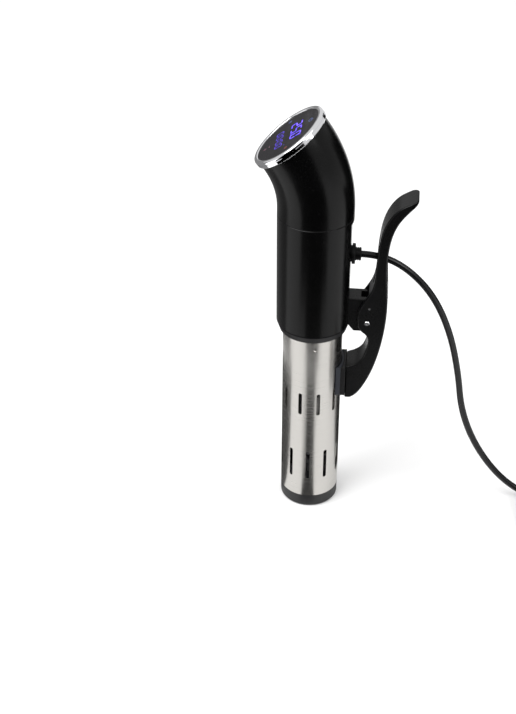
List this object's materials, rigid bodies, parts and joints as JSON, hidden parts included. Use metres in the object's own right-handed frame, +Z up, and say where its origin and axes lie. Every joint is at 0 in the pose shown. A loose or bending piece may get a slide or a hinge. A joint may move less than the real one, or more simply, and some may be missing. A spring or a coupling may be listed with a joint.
{
  "type": "sous vide circulator",
  "caption": "Stick-shaped water bath heater with a tilted round touch display, steel skirt tube, spring pot clip and mains cord.",
  "frame": {"origin": "middle of the flat face under the end cap, on the axis of the skirt tube", "axes": "+Z up along the skirt tube, -Y the way the head bends and the display faces, +Y towards the clip and the cord, +X across"},
  "size_m": [0.106, 0.3188, 0.3718],
  "materials": {
    "satin_black": "fine satin moulded plastic",
    "collar_black": "matt moulded plastic",
    "clip_black": "semi-gloss moulded plastic",
    "gland_black": "matt nylon",
    "cap_black": "matt heat-resistant plastic",
    "chrome": "polished chrome plate",
    "display_black": "black toughened glass, opaque back print",
    "sensor_film": "printed film",
    "module_grey": "moulded display modules",
    "board_green": "glass-epoxy board",
    "frame_grey": "moulded plastic frame",
    "component_black": "moulded components",
    "ferrite": "ferrite and enamelled wire",
    "aluminium": "extruded aluminium",
    "zinc_steel": "plated steel",
    "magnet": "sintered ferrite",
    "bronze": "sintered bronze",
    "shaft_steel": "ground stainless steel",
    "fan_plastic": "moulded plastic",
    "seal_rubber": "soft silicone rubber",
    "pin_steel": "bright turned steel",
    "skirt_steel": "brushed stainless steel",
    "pad_rubber": "moulded rubber",
    "pad_plastic": "moulded plastic",
    "cord_black": "soft PVC sheath",
    "plug_black": "moulded plug",
    "plug_metal": "plated brass"
  },
  "bodies": {
    "housing": {"base_seal": "seal_rubber", "body_shell": "satin_black", "bottom_collar": "collar_black", "bracket_screws": "zinc_steel", "buzzer": "component_black", "cable_gland": "gland_black", "capacitors": "component_black", "chassis": "frame_grey", "chrome_bezel": "chrome", "clip_bracket": "clip_black", "clip_spring": "pin_steel", "cord_coil": "cord_black", "digit_modules": "module_grey", "display_board": "board_green", "display_glass": "display_black", "display_screws": "zinc_steel", "gland_flange": "gland_black", "gland_nut": "gland_black", "head_frame": "frame_grey", "head_shell": "satin_black", "heat_sink": "aluminium", "heater_base": "cap_black", "heating_element": "shaft_steel", "level_electrodes": "shaft_steel", "line_choke": "ferrite", "lower_bushing": "bronze", "motor_bushings": "bronze", "motor_can": "zinc_steel", "motor_magnets": "magnet", "motor_screws": "zinc_steel", "pivot_pin": "pin_steel", "plug_body": "plug_black", "plug_boot": "cord_black", "plug_pins": "plug_metal", "power_board": "board_green", "power_cord": "cord_black", "relay": "component_black", "ring_clip": "zinc_steel", "seam_gasket": "seal_rubber", "shaft_guide": "shaft_steel", "shaft_seal": "seal_rubber", "temperature_probe": "shaft_steel", "touch_sensor": "sensor_film"},
    "clip": {"clip_lever": "clip_black", "spring_stud": "pin_steel", "pad_carrier": "pad_plastic", "jaw_pad": "pad_rubber"},
    "rotor": {"motor_shaft": "shaft_steel", "motor_rotor": "zinc_steel", "shaft_coupling": "aluminium", "drive_shaft": "shaft_steel", "cooling_fan": "fan_plastic", "impeller": "fan_plastic"},
    "bayonet": {"bayonet_ring": "cap_black"},
    "skirt": {"steel_skirt": "skirt_steel", "end_cap": "cap_black"}
  },
  "joints": [
    {"name": "clip_pivot", "type": "hinge", "parent": "housing", "child": "clip", "pos_m": [0, 0.045, 0.19], "axis": [1, 0, 0], "range_deg": [0, 14], "stiffness_Nm_per_rad": 1, "springref_deg": -20.05, "deforming": ["clip_spring"]},
    {"name": "rotor_spin", "type": "hinge", "parent": "housing", "child": "rotor", "pos_m": [0, 0, 0.1], "axis": [0, 0, 1], "continuous": true},
    {"name": "bayonet_twist", "type": "hinge", "parent": "housing", "child": "bayonet", "pos_m": [0, 0, 0.168], "axis": [0, 0, 1], "range_deg": [0, 20]},
    {"name": "skirt_slide", "type": "slide", "parent": "bayonet", "child": "skirt", "axis": [0, 0, -1], "range_m": [0, 0.19]}
  ]
}
